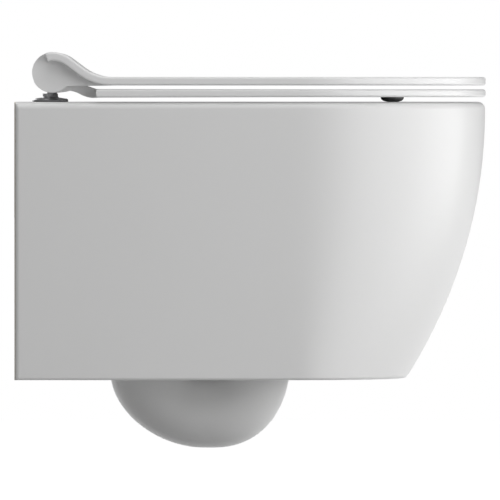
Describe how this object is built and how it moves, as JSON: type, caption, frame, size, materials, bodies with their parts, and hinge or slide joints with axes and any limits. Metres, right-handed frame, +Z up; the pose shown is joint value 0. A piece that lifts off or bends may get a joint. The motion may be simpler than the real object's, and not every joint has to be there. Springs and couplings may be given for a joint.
{
  "type": "wall hung toilet",
  "caption": "Compact wall hung toilet: hollow glazed pan with a built-in trap, slim soft-close seat ring and a thin lid that rolls over its hinge.",
  "frame": {"origin": "on the wall plane, midway between the two wall studs", "axes": "+Y into the wall, -Y out to the front of the pan, +Z up, X across the pan"},
  "size_m": [0.363, 0.5, 0.4242],
  "materials": {
    "glazed_china": "white gloss glaze",
    "seat_plastic": "white moulded thermoset, gloss",
    "hinge_steel": "satin stainless steel",
    "fixing_steel": "bright zinc plate",
    "hinge_nylon": "natural nylon",
    "rubber": "dark grey rubber"
  },
  "bodies": {
    "pan": {"pan_deck": "glazed_china", "pan_floor": "glazed_china", "pan_nose": "glazed_china", "pan_side_left": "glazed_china", "pan_side_right": "glazed_china", "pan_collar": "glazed_china", "pan_basin": "glazed_china", "pan_sump": "glazed_china", "pan_crown": "glazed_china", "pan_back": "glazed_china", "inlet_seal": "rubber", "hinge_gasket_left": "rubber", "hinge_gasket_right": "rubber", "hinge_post_left": "hinge_steel", "hinge_post_right": "hinge_steel", "hinge_stud_left": "fixing_steel", "hinge_stud_right": "fixing_steel", "hinge_plug_left": "rubber", "hinge_plug_right": "rubber", "hinge_nut_left": "hinge_nylon", "hinge_nut_right": "hinge_nylon", "hinge_axle_left": "hinge_steel", "hinge_axle_right": "hinge_steel", "fixing_sleeve_left": "hinge_nylon", "fixing_sleeve_right": "hinge_nylon", "fixing_washer_left": "fixing_steel", "fixing_washer_right": "fixing_steel", "fixing_nut_left": "fixing_steel", "fixing_nut_right": "fixing_steel"},
    "seat": {"seat_ring": "seat_plastic", "seat_buffer_left": "rubber", "seat_buffer_right": "rubber", "seat_damper": "hinge_nylon"},
    "lid": {"lid": "seat_plastic", "lid_bush": "hinge_nylon", "lid_damper": "hinge_nylon"}
  },
  "joints": [
    {"name": "seat_hinge", "type": "hinge", "parent": "pan", "child": "seat", "pos_m": [0, -0.0398, 0.1161], "axis": [1, 0, 0], "range_deg": [-95, 0]},
    {"name": "lid_hinge", "type": "hinge", "parent": "seat", "child": "lid", "pos_m": [0, -0.0398, 0.1161], "axis": [-1, 0, 0], "range_deg": [0, 95]}
  ]
}
